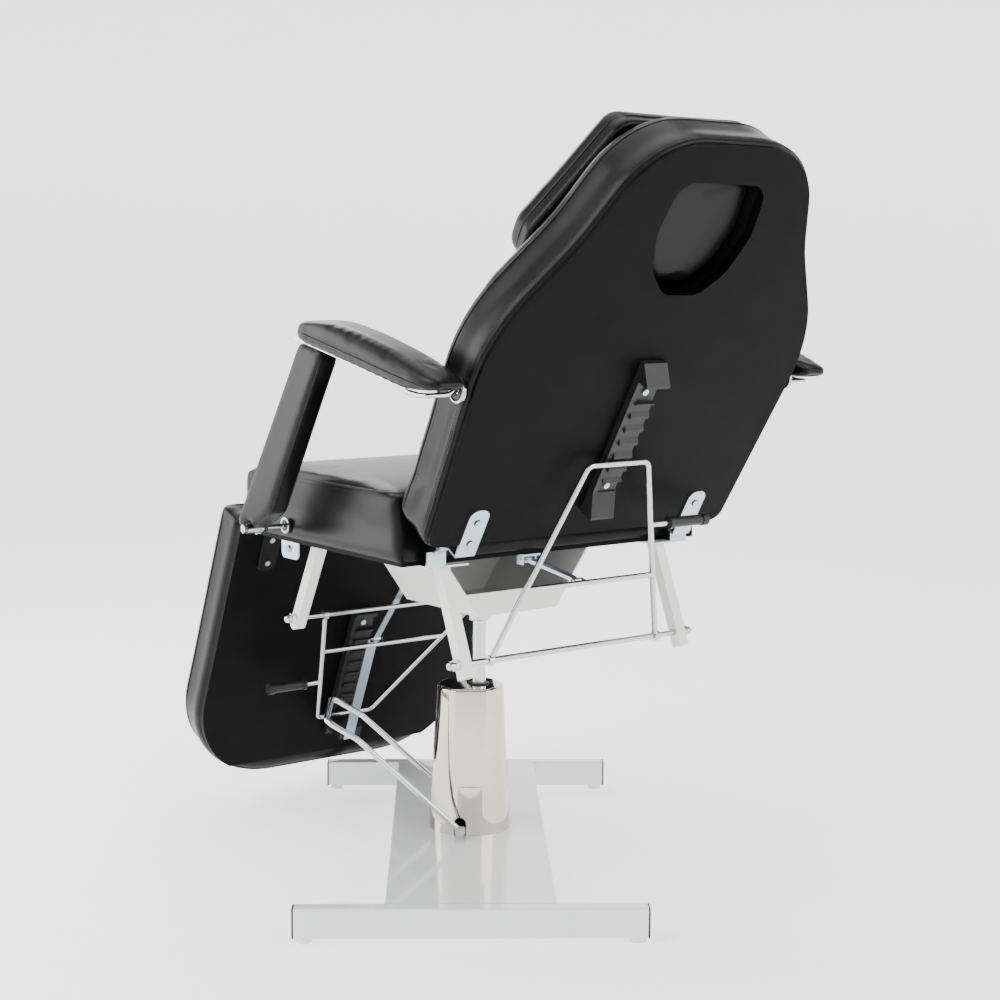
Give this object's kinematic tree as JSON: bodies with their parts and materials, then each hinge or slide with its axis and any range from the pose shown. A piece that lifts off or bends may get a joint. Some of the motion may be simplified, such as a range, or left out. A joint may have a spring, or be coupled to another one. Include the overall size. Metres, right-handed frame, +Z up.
{
  "type": "facial treatment bed",
  "caption": "Padded treatment bed on a hydraulic pedestal: reclining back with face opening, hinged leg rest, linked arms and a foot pedal.",
  "frame": {"origin": "on the pump's axis, at the floor", "axes": "+X is the occupant's left, +Y is towards the backrest, +Z is up"},
  "size_m": [0.9748, 1.2287, 1.2815],
  "materials": {
    "black_vinyl": "semi-gloss coated fabric",
    "board_wrap": "black lining cloth over plywood",
    "grey_powder": "glossy light grey powder coat",
    "white_paint": "satin off-white paint",
    "warm_chrome": "polished, slightly warm",
    "bright_chrome": "polished",
    "zinc": "bluish zinc plate",
    "steel_dark": "dark grey pump casting",
    "black_plastic": "moulded, satin",
    "black_paint": "black painted steel",
    "pad_rubber": "grey floor pad"
  },
  "bodies": {
    "base": {"base_plate": "grey_powder", "cross_bars": "grey_powder", "end_caps": "black_plastic", "floor_pads": "pad_rubber", "pump_body": "steel_dark", "pump_cover": "warm_chrome", "pump_bolts": "zinc", "gland_ring": "black_plastic", "pedal_shaft": "bright_chrome"},
    "lift": {"piston_rod": "bright_chrome", "head_collar": "bright_chrome", "swivel_nut": "zinc"},
    "pedal": {"pedal_frame": "bright_chrome"},
    "seat": {"seat_tray": "white_paint", "tray_bolts": "zinc", "seat_board": "board_wrap", "seat_cushion": "black_vinyl", "rear_legs": "white_paint", "front_legs": "white_paint", "cross_rods": "bright_chrome", "cap_nuts": "bright_chrome", "back_hinge_arms": "zinc", "leg_hinge_arms": "zinc", "hinge_pins": "zinc", "arm_bolts": "bright_chrome", "arm_washers": "bright_chrome", "side_tabs": "zinc", "tab_screws": "bright_chrome", "link_anchors": "zinc"},
    "backrest": {"back_board": "board_wrap", "back_cushion": "black_vinyl", "back_hinge_brackets": "zinc", "back_hinge_screws": "zinc", "back_rack": "black_plastic", "back_rack_screws": "zinc", "back_arm_pivots": "bright_chrome"},
    "plug": {"face_plug": "black_vinyl"},
    "pillow": {"headrest_pillow": "black_vinyl"},
    "back_prop": {"back_prop_frame": "bright_chrome", "back_prop_grip": "black_plastic", "back_prop_stay": "zinc"},
    "leg_rest": {"leg_board": "board_wrap", "leg_cushion": "black_vinyl", "leg_hinge_brackets": "black_paint", "leg_rack": "black_plastic", "leg_rack_screws": "zinc", "keeper_strap": "zinc", "keeper_screw": "zinc"},
    "leg_prop": {"leg_prop_frame": "bright_chrome", "leg_prop_grip": "black_plastic", "leg_prop_stay": "zinc"},
    "arm_post_left": {"arm_post_frame_left": "bright_chrome", "arm_post_cushion_left": "black_vinyl"},
    "arm_pad_left": {"arm_pad_frame_left": "bright_chrome", "arm_pad_cushion_left": "black_vinyl"},
    "arm_post_right": {"arm_post_frame_right": "bright_chrome", "arm_post_cushion_right": "black_vinyl"},
    "arm_pad_right": {"arm_pad_frame_right": "bright_chrome", "arm_pad_cushion_right": "black_vinyl"}
  },
  "joints": [
    {"name": "lift", "type": "slide", "parent": "base", "child": "lift", "axis": [0, 0, 1], "range_m": [0, 0.12]},
    {"name": "swivel", "type": "hinge", "parent": "lift", "child": "seat", "pos_m": [0, 0, 0.461], "axis": [0, 0, 1], "continuous": true},
    {"name": "pedal", "type": "hinge", "parent": "base", "child": "pedal", "pos_m": [0.02641, -0.01894, 0.072], "axis": [0.5827, 0.8127, 0], "range_deg": [0, 22], "stiffness_Nm_per_rad": 6, "springref_deg": -34.38},
    {"name": "recline", "type": "hinge", "parent": "seat", "child": "backrest", "pos_m": [0, 0.25, 0.613], "axis": [-1, 0, 0], "range_deg": [0, 60]},
    {"name": "back_prop", "type": "hinge", "parent": "seat", "child": "back_prop", "pos_m": [0, 0.2671, 0.4249], "axis": [-1, 0, 0], "range_deg": [0, 46.5], "deforming": ["back_prop_stay"]},
    {"name": "leg_raise", "type": "hinge", "parent": "seat", "child": "leg_rest", "pos_m": [0, -0.305, 0.59], "axis": [-1, 0, 0], "range_deg": [0, 67.5]},
    {"name": "leg_prop", "type": "hinge", "parent": "seat", "child": "leg_prop", "pos_m": [0, -0.2308, 0.4229], "axis": [-1, 0, 0], "range_deg": [0, 74.5], "deforming": ["leg_prop_stay"]},
    {"name": "pillow_slide", "type": "slide", "parent": "backrest", "child": "pillow", "axis": [0, -0.8653, 0.5012], "range_m": [0, 0.15]},
    {"name": "plug_slide", "type": "slide", "parent": "backrest", "child": "plug", "axis": [0, 0.8653, -0.5012], "range_m": [0, 0.1]},
    {"name": "arm_foot_left", "type": "hinge", "parent": "seat", "child": "arm_post_left", "pos_m": [0.381, -0.126, 0.609], "axis": [-1, 0, 0], "range_deg": [0, 46]},
    {"name": "arm_elbow_left", "type": "hinge", "parent": "arm_post_left", "child": "arm_pad_left", "pos_m": [0.352, 0.048, 0.911], "axis": [-1, 0, 0], "range_deg": [-39.5, 0]},
    {"name": "arm_foot_right", "type": "hinge", "parent": "seat", "child": "arm_post_right", "pos_m": [-0.381, -0.126, 0.609], "axis": [-1, 0, 0], "range_deg": [0, 46]},
    {"name": "arm_elbow_right", "type": "hinge", "parent": "arm_post_right", "child": "arm_pad_right", "pos_m": [-0.352, 0.048, 0.911], "axis": [-1, 0, 0], "range_deg": [-39.5, 0]}
  ],
  "couplings": [
    {"joint": "back_prop", "follows": "recline", "ratio": 0.77},
    {"joint": "leg_prop", "follows": "leg_raise", "ratio": 1.1},
    {"joint": "arm_foot_left", "follows": "recline", "ratio": 0.7615},
    {"joint": "arm_elbow_left", "follows": "recline", "ratio": -0.6538},
    {"joint": "arm_foot_right", "follows": "recline", "ratio": 0.7615},
    {"joint": "arm_elbow_right", "follows": "recline", "ratio": -0.6538}
  ]
}
